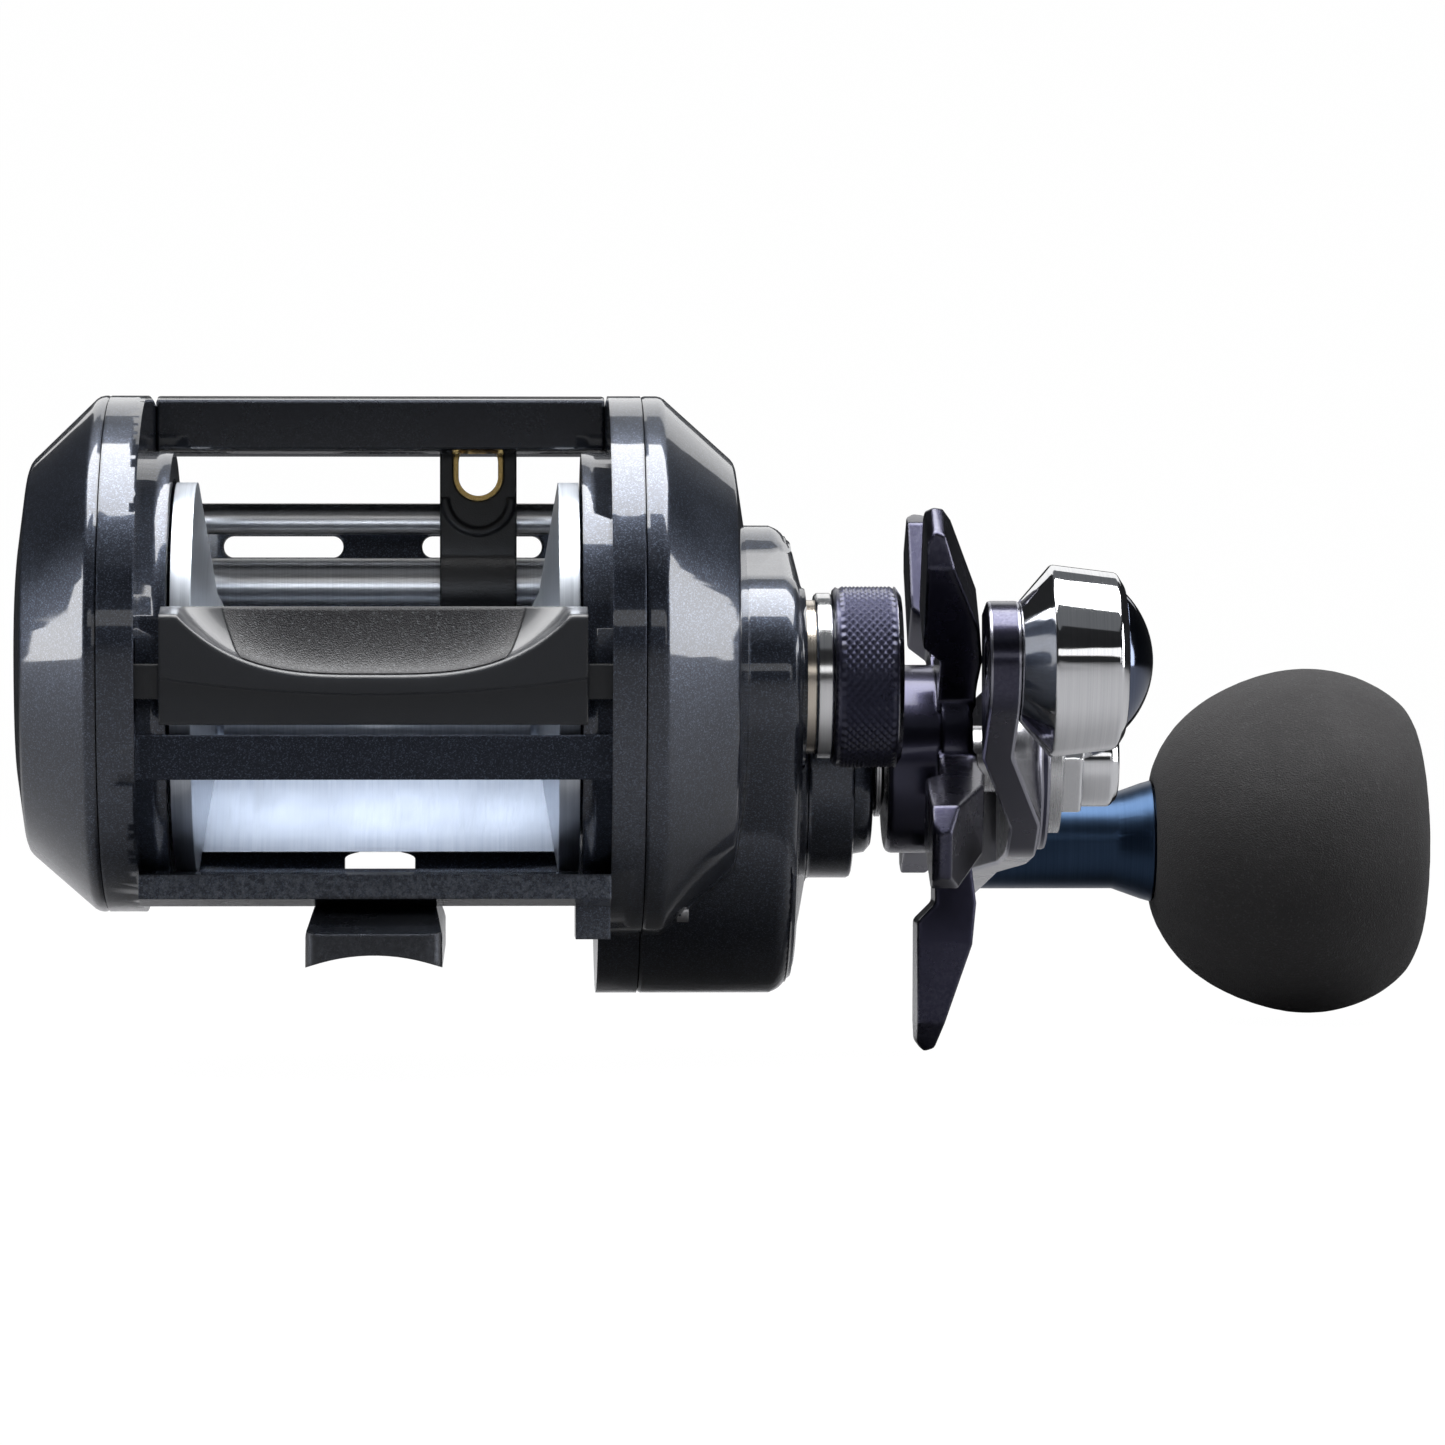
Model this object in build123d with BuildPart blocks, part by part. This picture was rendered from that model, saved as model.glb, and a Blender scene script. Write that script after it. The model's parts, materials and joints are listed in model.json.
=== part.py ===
from build123d import *
from math import asin, atan2, cos, degrees, hypot, radians, sin, sqrt
import os

# Low-profile bait-casting fishing reel, millimetres.
# +X points to the handle side, +Y to the rod tip, +Z up.
# The origin is the middle of the saddle under the foot, where the reel meets the rod.

axis_height = 31.3          # spool axis above the saddle

# side rings and covers
palm_seam = -31.2           # joint between frame ring and palm side cover
gear_seam = 30.8            # joint between frame ring and gear side cover
ring_inner = 27.0           # inner face of both side rings
palm_depth = 27.4           # palm side ring below the spool axis
gear_depth = 30.0           # gear side ring below the spool axis
outline_centre = (5.0, 1.0) # point the side outline shrinks towards
palm_facet = 8.0            # width of the sloping facet around the palm side cover
gear_facet = 8.6            # and around the gear side cover
cover_crown = 1.2           # rise from the slope to the flat middle of each cover
cover_facet_size = 0.76     # outline size where the slope meets the outer face
cover_face_size = 0.52      # outline size of the flat middle of the face

# spool
flange_radius = 22.85
flange_outer = 23.5
flange_rim = 21.1
arbor_radius = 8.0
shaft_radius = 1.6
mouth_radius = 23.3         # frame opening around the spool flanges
lip_face = 23.8             # inner face of the lips around that opening

# drive train
drive_y = 24.0
drive_z = -10.0
worm_y = 30.0
worm_z = 11.4
rod_z = 19.2
drive_teeth = 87
pinion_teeth = 15
cross_teeth = 56
worm_teeth = 34
drum_radius = 28.3
drum_inner = 25.9           # the gear drum starts inside the ring

# level wind
guide_x = 11.75             # middle of the line guide at rest
guide_width = 9.3
rod_radius = 1.9
tube_radius = 3.0
worm_radius = 2.1

# handle
knob_y = 94.0
knob_z = -21.9
weight_y = -9.0
weight_z = 1.9


def across(y=0, z=0):
    """Plane along the reel's width through a shaft axis: local X is the width, local Y the radius."""
    return Plane(origin=(0, y, axis_height + z), x_dir=(1, 0, 0), z_dir=(0, -1, 0))


def section(x, y=0, z=0):
    """Plane square to the shafts: local X points to the rod tip, local Y up, from a shaft axis."""
    return Plane(origin=(x, y, axis_height + z), x_dir=(0, 1, 0), z_dir=(1, 0, 0))


def turned(points, y=0, z=0, mode=Mode.ADD):
    """Turn a closed outline of (x, radius) points about a shaft axis."""
    with BuildSketch(across(y, z)) as outline:
        with BuildLine():
            Polyline(*points, close=True)
        make_face()
    revolve(outline.sketch, axis=Axis((0, y, axis_height + z), (1, 0, 0)), mode=mode)


def ring(start, end, outer, inner, y=0, z=0, mode=Mode.ADD):
    """A plain ring, bush or washer around a shaft axis."""
    turned([(start, inner), (start, outer), (end, outer), (end, inner)], y, z, mode)


def rod(start, end, radius, y=0, z=0, mode=Mode.ADD):
    """A plain round bar along a shaft axis, or the hole it goes into."""
    with BuildSketch(section(start, y, z)) as disc:
        Circle(radius)
    extrude(disc.sketch, amount=end - start, mode=mode)


def side_outline(x, size, depth):
    """The egg-shaped side outline of the reel, shrunk towards its middle by size."""
    points = [
        (-33.5, 2), (-28, 20), (-11, 31), (12, 33.1), (33, 29),
        (46, 10), (42, -13), (21, 3.5 - depth), (-3, -depth), (-25, -19.5),
    ]
    cy, cz = outline_centre
    placed = [(cy + size * (y - cy), cz + size * (z - cz)) for y, z in points]
    with BuildSketch(section(x)) as outline:
        with BuildLine():
            Spline(*placed, periodic=True)
        make_face()
    return outline.sketch


def bar(points, start, end, mode=Mode.ADD):
    """A bar along the width with a closed (y, z) outline seen from the handle side."""
    with BuildSketch(section(start)) as outline:
        with BuildLine():
            Polyline(*points, close=True)
        make_face()
    extrude(outline.sketch, amount=end - start, mode=mode)


def gear_wheel(start, end, y, z, teeth, module, first, bore, tooth_reach=0.9):
    """A spur gear with straight-flanked teeth; first is the angle of one tooth's middle."""
    tip = module * (teeth / 2 + tooth_reach)
    root = module * (teeth / 2 - 1.2)
    points = []
    for tooth in range(teeth):
        middle = first + 360 * tooth / teeth
        for radius, share in ((root, -0.2), (tip, -0.1), (tip, 0.1), (root, 0.2)):
            angle = radians(middle + share * 360 / teeth)
            points.append((radius * cos(angle), radius * sin(angle)))
    with BuildSketch(section(start, y, z)) as outline:
        with BuildLine():
            Polyline(*points, close=True)
        make_face()
    extrude(outline.sketch, amount=end - start)
    rod(start, end, bore, y, z, mode=Mode.SUBTRACT)


def save(piece, name):
    piece.part.label = name
    export_step(piece.part, "parts/" + name + ".step")


os.makedirs("parts", exist_ok=True)

# ---------------------------------------------------------------- frame
bar_top, bar_bottom = -6.5, -11.6           # rear crossbar
floor_top, floor_bottom = -23.4, -26.3      # plate under the spool
tongue_slot = (-31.1, -28.9, -8.0, 4.2)     # y and z limits of the thumb bar's guide slots
screw_y = 10.0
foot_screw_radius = 1.5
cover_screw_places = [(-2.4, -26.9), (30.2, 26.0)]
cover_screw_seat = 35.0

with BuildPart() as frame:
    extrude(side_outline(palm_seam, 1, palm_depth), amount=-ring_inner - palm_seam)
    extrude(side_outline(ring_inner, 1, gear_depth), amount=gear_seam - ring_inner)
    rod(drum_inner, gear_seam, drum_radius, drive_y, drive_z)
    rod(-ring_inner, -lip_face, 26.4)
    rod(lip_face, ring_inner, 26.4)
    rod(palm_seam, flange_outer + 1.5, mouth_radius, mode=Mode.SUBTRACT)
    bar([(-25.8, bar_top), (-22.4, bar_top), (-22.4, bar_bottom), (-25.8, bar_bottom)],
        -ring_inner, ring_inner)
    bar([(-22, -22.5), (-13, -22.5), (-9, floor_top), (16, floor_top), (16, floor_bottom),
         (-17, floor_bottom), (-22, floor_bottom + 1)], -ring_inner, ring_inner)
    bar([(12.6, floor_top), (16, floor_top), (16, -21.0), (14.4, -21.0)], -ring_inner, drum_inner)
    # arched drain notch in the floor's front lip
    with BuildSketch(Plane(origin=(0, 0, axis_height - 23.0), x_dir=(1, 0, 0), z_dir=(0, -1, 0))) as notch:
        Rectangle(8.4, 1.2, align=(Align.CENTER, Align.MIN))
        with Locations((0, 1.2)):
            Circle(0.9)
            with Locations((0, 0)):
                Ellipse(4.2, 1.0)
    extrude(notch.sketch, amount=-20, mode=Mode.SUBTRACT)
    bar([(-16, floor_bottom - 3.9), (-6, floor_bottom - 3.9), (-6, floor_top), (-16, floor_top)],
        23.0, ring_inner)
    # bearing seats, screw and rod holes, and slots for the thumb bar's tongues
    rod(ring_inner + 0.6, gear_seam, 7.0, mode=Mode.SUBTRACT)
    rod(flange_outer, ring_inner + 0.6, 5.6, mode=Mode.SUBTRACT)
    rod(ring_inner + 0.6, gear_seam, 7.0, drive_y, drive_z, mode=Mode.SUBTRACT)
    rod(palm_seam, gear_seam, 3.5, worm_y, worm_z, mode=Mode.SUBTRACT)
    rod(-29.2, 29.2, rod_radius, worm_y, rod_z, mode=Mode.SUBTRACT)
    slot_rear, slot_front, slot_bottom, slot_top = tongue_slot
    for y, z in cover_screw_places:
        rod(ring_inner, gear_seam, 1.2, y, z, mode=Mode.SUBTRACT)
    for start, end in ((-29.4, -ring_inner), (ring_inner, gear_seam)):
        bar([(slot_rear, slot_bottom), (slot_front, slot_bottom), (slot_front, slot_top),
             (slot_rear, slot_top)], start, end, mode=Mode.SUBTRACT)
    for side in (-1, 1):
        with Locations((0, side * screw_y, axis_height + floor_bottom)):
            Cylinder(foot_screw_radius, 8, mode=Mode.SUBTRACT)
save(frame, "frame")

# ---------------------------------------------------------------- palm side cover
palm_face = palm_seam - 1.3
with BuildPart() as palm_side_cover:
    loft([side_outline(palm_seam, 1, palm_depth), side_outline(palm_face, 1, palm_depth),
          side_outline(palm_face - palm_facet, cover_facet_size, palm_depth),
          side_outline(palm_face - palm_facet - cover_crown, cover_face_size, palm_depth)], ruled=True)
    loft([side_outline(palm_seam, 0.9, palm_depth),
          side_outline(palm_seam - 5.6, 0.76, palm_depth)], ruled=True, mode=Mode.SUBTRACT)
    ring(-37.6, -36.6, 17.6, 0, mode=Mode.ADD)
    rod(-37.6, -33.4, 7.2)
    rod(-37.0, -33.4, 5.0, mode=Mode.SUBTRACT)
save(palm_side_cover, "palm_side_cover")

# ---------------------------------------------------------------- gear side cover
gear_face = gear_seam + 2.4
spring_y, spring_z = -3.0, 11.5             # clutch springs above and below the pinion
spring_end = 39.4
drum_profile = [(gear_seam, 0), (gear_seam, drum_radius), (46.8, drum_radius), (48.0, 27.8), (48.8, 26.8),
                (49.2, 25.2), (50.4, 19), (51.2, 14.5), (51.2, 0)]
boss_end = 49.9
boss_radius = 12.3
shoulder_start, shoulder_edge = 40.0, 47.6  # web that joins the boss to the drum
thread_radius = 8.0
with BuildPart() as gear_side_cover:
    loft([side_outline(gear_seam, 1, gear_depth), side_outline(gear_face, 1, gear_depth),
          side_outline(gear_face + gear_facet, cover_facet_size, gear_depth),
          side_outline(gear_face + gear_facet + cover_crown, cover_face_size, gear_depth)], ruled=True)
    turned(drum_profile, drive_y, drive_z)
    shoulders = []
    for x, inset in ((shoulder_start, 0), (shoulder_edge, 0), (49.0, 0.6), (boss_end - 0.3, 1.9)):
        with BuildSketch(section(x)) as web:
            Circle(boss_radius - inset)
            with Locations((drive_y, drive_z)):
                Circle(drum_radius - 1.2 - inset)
            make_hull()
        shoulders.append(web.sketch)
    loft(shoulders, ruled=True)
    rod(42, boss_end, boss_radius - 1.9)
    rod(boss_end, 60, 11.2, mode=Mode.SUBTRACT)
    rod(boss_end, 57.0, thread_radius)
    rod(51.0, 56.7, 14.4, drive_y, drive_z)
    # hollow for the gears
    loft([side_outline(gear_seam, 0.9, gear_depth),
          side_outline(gear_seam + 5.2, 0.8, gear_depth)], ruled=True, mode=Mode.SUBTRACT)
    rod(gear_seam, 44.3, 24.3, drive_y, drive_z, mode=Mode.SUBTRACT)
    rod(gear_seam, 35.2, 9.6, worm_y, worm_z, mode=Mode.SUBTRACT)
    rod(gear_seam, 46.2, 7.0, mode=Mode.SUBTRACT)
    for side in (-1, 1):
        rod(gear_seam, spring_end, 2.3, spring_y, side * spring_z, mode=Mode.SUBTRACT)
    for y, z in cover_screw_places:
        rod(gear_seam, cover_screw_seat, 1.2, y, z, mode=Mode.SUBTRACT)
        rod(cover_screw_seat, 44, 2.0, y, z, mode=Mode.SUBTRACT)
    # bearing seats
    rod(44.3, 46.0, 7.0, drive_y, drive_z, mode=Mode.SUBTRACT)
    rod(46.0, 56.7, 9.5, drive_y, drive_z, mode=Mode.SUBTRACT)
    rod(46.2, 48.6, 5.0, mode=Mode.SUBTRACT)
    rod(48.6, 50.5, 3.3, mode=Mode.SUBTRACT)
    rod(50.5, 57.0, 5.0, mode=Mode.SUBTRACT)
save(gear_side_cover, "gear_side_cover")

# ---------------------------------------------------------------- hood, front plate and shield
hood_outline = [(20.8, 27.4), (23.0, 26.8), (23.8, 31.2), (30, 31.2), (36, 28.8), (38.8, 26.9),
                (40.2, 27.8), (37.6, 30.4), (30.5, 33.3), (24, 33.9), (20.4, 33.3)]
with BuildPart() as hood:
    bar(hood_outline, -ring_inner, ring_inner)
save(hood, "hood")

slot_z = 15.9
with BuildPart() as front_plate:
    bar([(37.4, 20.0), (39.2, 20.0), (39.6, 2.0), (36.5, -7.0), (30.0, -11.4), (26.6, -11.4), (26.6, -9.6),
         (29.6, -9.6), (35.2, -5.8), (37.8, 2.0)], -ring_inner, drum_inner)
    slot_plane = Plane(origin=(0, 45, axis_height + slot_z), x_dir=(1, 0, 0), z_dir=(0, -1, 0))
    with BuildSketch(slot_plane) as slots:
        for side in (-1, 1):
            with Locations((side * 12.2, 0)):
                SlotOverall(14.7, 2.6)
    extrude(slots.sketch, amount=15, mode=Mode.SUBTRACT)
save(front_plate, "front_plate")

shield_inner, shield_outer = 24.4, 26.4
shield_top, shield_bottom = 12.4, 20.9      # below the spool axis
with BuildPart() as front_shield:
    corners = []
    for radius, drop in ((shield_inner, shield_top), (shield_outer, shield_top),
                         (shield_outer, shield_bottom), (shield_inner, shield_bottom)):
        corners.append((sqrt(radius**2 - drop**2), -drop))
    middle_angle = (asin(shield_top / shield_inner) + asin(shield_bottom / shield_inner)) / 2
    with BuildSketch(section(-lip_face)) as shell:
        with BuildLine():
            Line(corners[0], corners[1])
            ThreePointArc(corners[1], (shield_outer * cos(middle_angle), -shield_outer * sin(middle_angle)),
                          corners[2])
            Line(corners[2], corners[3])
            ThreePointArc(corners[3], (shield_inner * cos(middle_angle), -shield_inner * sin(middle_angle)),
                          corners[0])
        make_face()
    extrude(shell.sketch, amount=2 * lip_face)
save(front_shield, "front_shield")

# ---------------------------------------------------------------- foot
foot_half_width = 7.75
foot_half_length = 33.0
saddle_radius = 22.0
saddle_drop = saddle_radius - sqrt(saddle_radius**2 - foot_half_width**2)
foot_top = axis_height + floor_bottom
with BuildPart() as reel_foot:
    with BuildSketch(Plane(origin=(0, -foot_half_length, 0), x_dir=(1, 0, 0), z_dir=(0, 1, 0))) as end:
        with BuildLine():
            Polyline((-7.0, -foot_top), (7.0, -foot_top), (7.6, -2.8), (foot_half_width, -2.0),
                     (foot_half_width, saddle_drop), (-foot_half_width, saddle_drop),
                     (-foot_half_width, -2.0), (-7.6, -2.8), close=True)
        make_face()
    extrude(end.sketch, amount=2 * foot_half_length)
    with BuildSketch(Plane(origin=(-10, 0, 0), x_dir=(0, 1, 0), z_dir=(1, 0, 0))) as profile:
        with BuildLine():
            Polyline((-foot_half_length, -saddle_drop), (-foot_half_length, 2.4), (-19, foot_top),
                     (15, foot_top), (foot_half_length, 1.6), (foot_half_length, -saddle_drop), close=True)
        make_face()
    extrude(profile.sketch, amount=20, mode=Mode.INTERSECT)
    with Locations(Location((0, 0, -saddle_radius), (90, 0, 0))):
        Cylinder(saddle_radius, 3 * foot_half_length, mode=Mode.SUBTRACT)
    fillet(reel_foot.edges().filter_by(Axis.Z), radius=2.0)
    for side in (-1, 1):
        with Locations((0, side * screw_y, 0)):
            Cylinder(foot_screw_radius, 20, mode=Mode.SUBTRACT)
            with Locations((0, 0, 0.8)):
                Cone(foot_screw_radius + 1.6, foot_screw_radius, 1.6, mode=Mode.SUBTRACT)
save(reel_foot, "reel_foot")

with BuildPart() as foot_screws:
    for side in (-1, 1):
        with Locations((0, side * screw_y, 0)):
            with Locations((0, 0, 0.8)):
                Cone(foot_screw_radius + 1.6, foot_screw_radius, 1.6)
            Cylinder(foot_screw_radius, axis_height + floor_top - 0.2,
                     align=(Align.CENTER, Align.CENTER, Align.MIN))
            with Locations((0, 0, 0.4)):
                Box(0.7, 5, 0.8, mode=Mode.SUBTRACT)
save(foot_screws, "foot_screws")
print("frame, covers and foot done")

# ---------------------------------------------------------------- level wind
with BuildPart() as guide_rod:
    rod(-29.2, 29.2, rod_radius, worm_y, rod_z)
save(guide_rod, "guide_rod")

with BuildPart() as worm_tube:
    ring(-ring_inner, drum_inner, tube_radius, worm_radius + 0.3, worm_y, worm_z)
    bar([(worm_y - 1.35, worm_z), (worm_y + 1.35, worm_z),
         (worm_y + 1.35, worm_z - 5), (worm_y - 1.35, worm_z - 5)],
        -22, 22, mode=Mode.SUBTRACT)
save(worm_tube, "worm_tube")

with BuildPart() as worm_bushings:
    ring(palm_seam, -ring_inner, 3.5, worm_radius + 0.06, worm_y, worm_z)
    ring(drum_inner, gear_seam, 3.5, worm_radius + 0.06, worm_y, worm_z)
save(worm_bushings, "worm_bushings")

with BuildPart() as worm_shaft:
    rod(palm_seam + 0.3, 35.0, worm_radius, worm_y, worm_z)
save(worm_shaft, "worm_shaft")

cross_distance = hypot(worm_y - drive_y, worm_z - drive_z)
cross_module = 2 * cross_distance / (cross_teeth + worm_teeth)
cross_angle = degrees(atan2(worm_z - drive_z, worm_y - drive_y))
with BuildPart() as worm_gear:
    gear_wheel(32.2, 34.2, worm_y, worm_z, worm_teeth, cross_module,
               cross_angle + 180 + 180 / worm_teeth, worm_radius)
save(worm_gear, "worm_gear")

with BuildPart() as cross_gear:
    gear_wheel(32.2, 34.2, drive_y, drive_z, cross_teeth, cross_module, cross_angle, 4.0)
save(cross_gear, "cross_gear")

eye_width, eye_height, eye_wall = 4.8, 6.6, 0.6
eye_z = 25.2
neck_rear, neck_front, neck_top = 25.6, 32.6, 29.5
with BuildPart() as line_guide:
    rod(guide_x - guide_width / 2, guide_x + guide_width / 2, 5.2, worm_y, worm_z)
    bar([(neck_rear + 0.9, worm_z), (neck_rear, 16), (neck_rear, neck_top), (neck_front, neck_top),
         (neck_front, 16), (neck_front - 0.9, worm_z)], guide_x - guide_width / 2, guide_x + guide_width / 2)
    fillet(line_guide.edges().filter_by(Axis.Y).group_by(Axis.Z)[-1], radius=2.0)
    with BuildSketch(Plane(origin=(guide_x, 0, axis_height + eye_z), x_dir=(0, 0, 1), z_dir=(0, 1, 0))) as eye:
        SlotOverall(eye_height + 2 * eye_wall, eye_width + 2 * eye_wall)
    extrude(eye.sketch, amount=50, mode=Mode.SUBTRACT)
    rod(0, 30, tube_radius + 0.1, worm_y, worm_z, mode=Mode.SUBTRACT)
    rod(0, 30, rod_radius + 0.1, worm_y, rod_z, mode=Mode.SUBTRACT)
    with Locations((guide_x, worm_y, axis_height + worm_z - 4)):
        Cylinder(1.2, 6, mode=Mode.SUBTRACT)
save(line_guide, "line_guide")

with BuildPart() as guide_insert:
    with BuildSketch(Plane(origin=(guide_x, neck_rear - 0.5, axis_height + eye_z), x_dir=(0, 0, 1),
                           z_dir=(0, 1, 0))) as liner:
        SlotOverall(eye_height + 2 * eye_wall, eye_width + 2 * eye_wall)
        SlotOverall(eye_height, eye_width, mode=Mode.SUBTRACT)
    extrude(liner.sketch, amount=neck_front - neck_rear + 0.8)
save(guide_insert, "guide_insert")

with BuildPart() as guide_pawl:
    with Locations((guide_x, worm_y, axis_height + worm_z - worm_radius - 0.15)):
        Cylinder(1.2, 2.9, align=(Align.CENTER, Align.CENTER, Align.MAX))
save(guide_pawl, "guide_pawl")

with BuildPart() as pawl_cap:
    with Locations((guide_x, worm_y, axis_height + worm_z - 5.2)):
        Cylinder(2.4, 1.3, align=(Align.CENTER, Align.CENTER, Align.MAX))
        with Locations((0, 0, -1.2)):
            Box(0.8, 6, 0.8, mode=Mode.SUBTRACT)
save(pawl_cap, "pawl_cap")

# ---------------------------------------------------------------- spool
spool_half = [(0, 7.0), (0, arbor_radius), (17.9, arbor_radius), (18.9, 9.9), (flange_rim, flange_radius),
              (flange_outer, flange_radius), (flange_outer, 21.4), (22.4, 21.0), (20.4, 9.0), (20.4, shaft_radius),
              (17.2, shaft_radius), (17.2, 7.0)]
with BuildPart() as spool:
    turned(spool_half)
    mirror(about=Plane.YZ)
save(spool, "spool")

with BuildPart() as spool_shaft:
    rod(-36.8, 56.8, shaft_radius)
save(spool_shaft, "spool_shaft")

block_count = 6
with BuildPart() as brake_hub:
    turned([(-31.4, shaft_radius), (-31.4, 5.0), (-30.8, 9.0), (-28.0, 9.0), (-28.0, 4.0), (-20.4, 4.0),
            (-20.4, shaft_radius)])
    with BuildSketch(section(-30.0)) as spokes:
        with PolarLocations(11, block_count):
            Rectangle(5.4, 1.2)
    extrude(spokes.sketch, amount=1.2)
save(brake_hub, "brake_hub")

with BuildPart() as brake_blocks:
    with BuildSketch(section(-31.0)) as blocks:
        with PolarLocations(12.2, block_count):
            Rectangle(3.4, 3.6)
    extrude(blocks.sketch, amount=3.2)
    with BuildSketch(section(-30.0)) as spoke_holes:
        with PolarLocations(11, block_count):
            Rectangle(5.4, 1.2)
    extrude(spoke_holes.sketch, amount=1.2, mode=Mode.SUBTRACT)
save(brake_blocks, "brake_blocks")

with BuildPart() as brake_drum:
    ring(-36.6, -27.6, 17.4, 16.2)
save(brake_drum, "brake_drum")

with BuildPart() as palm_bearing:
    ring(-36.4, -33.4, 5.0, shaft_radius + 0.05)
save(palm_bearing, "palm_bearing")

with BuildPart() as pinion_bearings:
    ring(ring_inner + 0.6, gear_seam, 7.0, 2.96)
    ring(46.2, 48.6, 5.0, 2.96)
save(pinion_bearings, "pinion_bearings")

with BuildPart() as cap_bearing:
    ring(50.9, 53.9, 5.0, shaft_radius + 0.05)
save(cap_bearing, "cap_bearing")
print("level wind and spool done")

# ---------------------------------------------------------------- clutch
drive_distance = hypot(drive_y, drive_z)
drive_module = 2 * drive_distance / (drive_teeth + pinion_teeth)
pinion_angle = degrees(atan2(-drive_z, -drive_y))      # from the drive shaft to the spool
yoke_start, yoke_end = 31.8, 32.8
with BuildPart() as pinion:
    rod(28.2, 31.4, 2.9)
    rod(31.4, 33.2, 2.2)
    rod(33.2, 34.0, 3.6)
    gear_wheel(34.0, 42.4, 0, 0, pinion_teeth, drive_module, pinion_angle + 180 + 180 / pinion_teeth, 1.0)
    rod(42.4, 47.6, 2.9)
    rod(28.2, 47.6, shaft_radius + 0.2, mode=Mode.SUBTRACT)
save(pinion, "pinion")

with BuildPart() as clutch_yoke:
    with BuildSketch(section(yoke_start)) as plate:
        with Locations((spring_y, 0)):
            SlotCenterToCenter(2 * spring_z, 5.6, rotation=90)
        Circle(6.0)
        Circle(2.4, mode=Mode.SUBTRACT)
        with Locations((-5, 0)):
            Rectangle(10, 4.8, mode=Mode.SUBTRACT)
    extrude(plate.sketch, amount=yoke_end - yoke_start)
save(clutch_yoke, "clutch_yoke")

wire_radius = 0.3
with BuildPart() as yoke_springs:
    for side in (-1, 1):
        with BuildLine() as coil:
            Helix(pitch=1.0, height=4.2, radius=1.7, direction=(1, 0, 0),
                  center=(34.8, spring_y, axis_height + side * spring_z))
        with BuildSketch(Plane(origin=coil.line @ 0, z_dir=coil.line % 0)) as wire:
            Circle(wire_radius)
        sweep(wire.sketch, path=coil.line, is_frenet=True)
save(yoke_springs, "yoke_springs")

with BuildPart() as clutch_cam:
    with BuildSketch(section(gear_seam + 0.15)) as plate:
        Circle(11.0)
        with Locations((-18.5, 0)):
            Rectangle(19.0, 3.2)
        Circle(7.3, mode=Mode.SUBTRACT)
    extrude(plate.sketch, amount=0.6)
save(clutch_cam, "clutch_cam")

# ---------------------------------------------------------------- thumb bar
bar_rear, bar_front = -33.0, -27.3
bar_low, bar_high = -5.3, 8.3
bar_half = 24.2
saddle_low, saddle_high = 0.2, 7.6          # the saddle's rear and front edge in the middle
saddle_bend = 60.0
pad_depth = 0.8
pad_half = 16.6
slope_length = hypot(bar_front - bar_rear, saddle_high - saddle_low)
slope_y = (bar_rear - bar_front) / slope_length
slope_z = (saddle_low - saddle_high) / slope_length
saddle_axis = Plane(origin=(0, (bar_rear + bar_front) / 2 + saddle_bend * slope_z,
                            axis_height + (saddle_low + saddle_high) / 2 - saddle_bend * slope_y),
                    x_dir=(1, 0, 0), z_dir=(0, slope_y, slope_z))
with BuildPart() as thumb_bar:
    bar([(bar_rear, bar_low), (bar_front, bar_low), (bar_front, bar_high), (bar_rear, bar_high)],
        -bar_half, bar_half)
    with BuildSketch(saddle_axis) as saddle:
        Circle(saddle_bend)
    extrude(saddle.sketch, amount=40, both=True, mode=Mode.SUBTRACT)
    with BuildSketch(saddle_axis) as pocket:
        Circle(saddle_bend + pad_depth)
        Rectangle(2 * pad_half, 200, mode=Mode.INTERSECT)
    extrude(pocket.sketch, amount=40, both=True, mode=Mode.SUBTRACT)
    for start, end in ((-28.6, -bar_half), (bar_half, 30.6)):
        bar([(-30.8, -2.4), (-29.3, -2.4), (-29.3, 1.6), (-30.8, 1.6)], start, end)
save(thumb_bar, "thumb_bar")

with BuildPart() as thumb_pad:
    with BuildSketch(saddle_axis) as layer:
        Circle(saddle_bend + pad_depth)
        Circle(saddle_bend, mode=Mode.SUBTRACT)
        with Locations((0, -saddle_bend)):
            Rectangle(2 * pad_half, 12, mode=Mode.INTERSECT)
    extrude(layer.sketch, amount=40, both=True)
    with BuildSketch(section(-bar_half)) as limits:
        with BuildLine():
            Polyline((bar_rear, bar_low), (bar_front, bar_low), (bar_front, bar_high), (bar_rear, bar_high),
                     close=True)
        make_face()
    extrude(limits.sketch, amount=2 * bar_half, mode=Mode.INTERSECT)
save(thumb_pad, "thumb_pad")

# ---------------------------------------------------------------- drive gear and drag
crank_radius = 4.0
gear_start, gear_end = 35.5, 41.5
drag_start = 38.0
drag_radius = 16.6
with BuildPart() as drive_shaft:
    rod(28.0, 84.3, crank_radius, drive_y, drive_z)
    rod(34.4, gear_start, 9.0, drive_y, drive_z)
save(drive_shaft, "drive_shaft")

with BuildPart() as drive_gear:
    gear_wheel(gear_start, gear_end, drive_y, drive_z, drive_teeth, drive_module, pinion_angle, crank_radius)
    ring(drag_start, gear_end, drag_radius + 0.3, 0, drive_y, drive_z, mode=Mode.SUBTRACT)
save(drive_gear, "drive_gear")

with BuildPart() as drag_washers:
    for layer in range(3):
        ring(drag_start + 1.8 * layer, drag_start + 1.8 * layer + 0.8, drag_radius, 4.6, drive_y, drive_z)
save(drag_washers, "drag_washers")

with BuildPart() as drag_plates:
    for layer in range(2):
        ring(drag_start + 0.8 + 1.8 * layer, drag_start + 1.8 * (layer + 1), drag_radius, 4.2, drive_y, drive_z)
save(drag_plates, "drag_plates")

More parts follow.
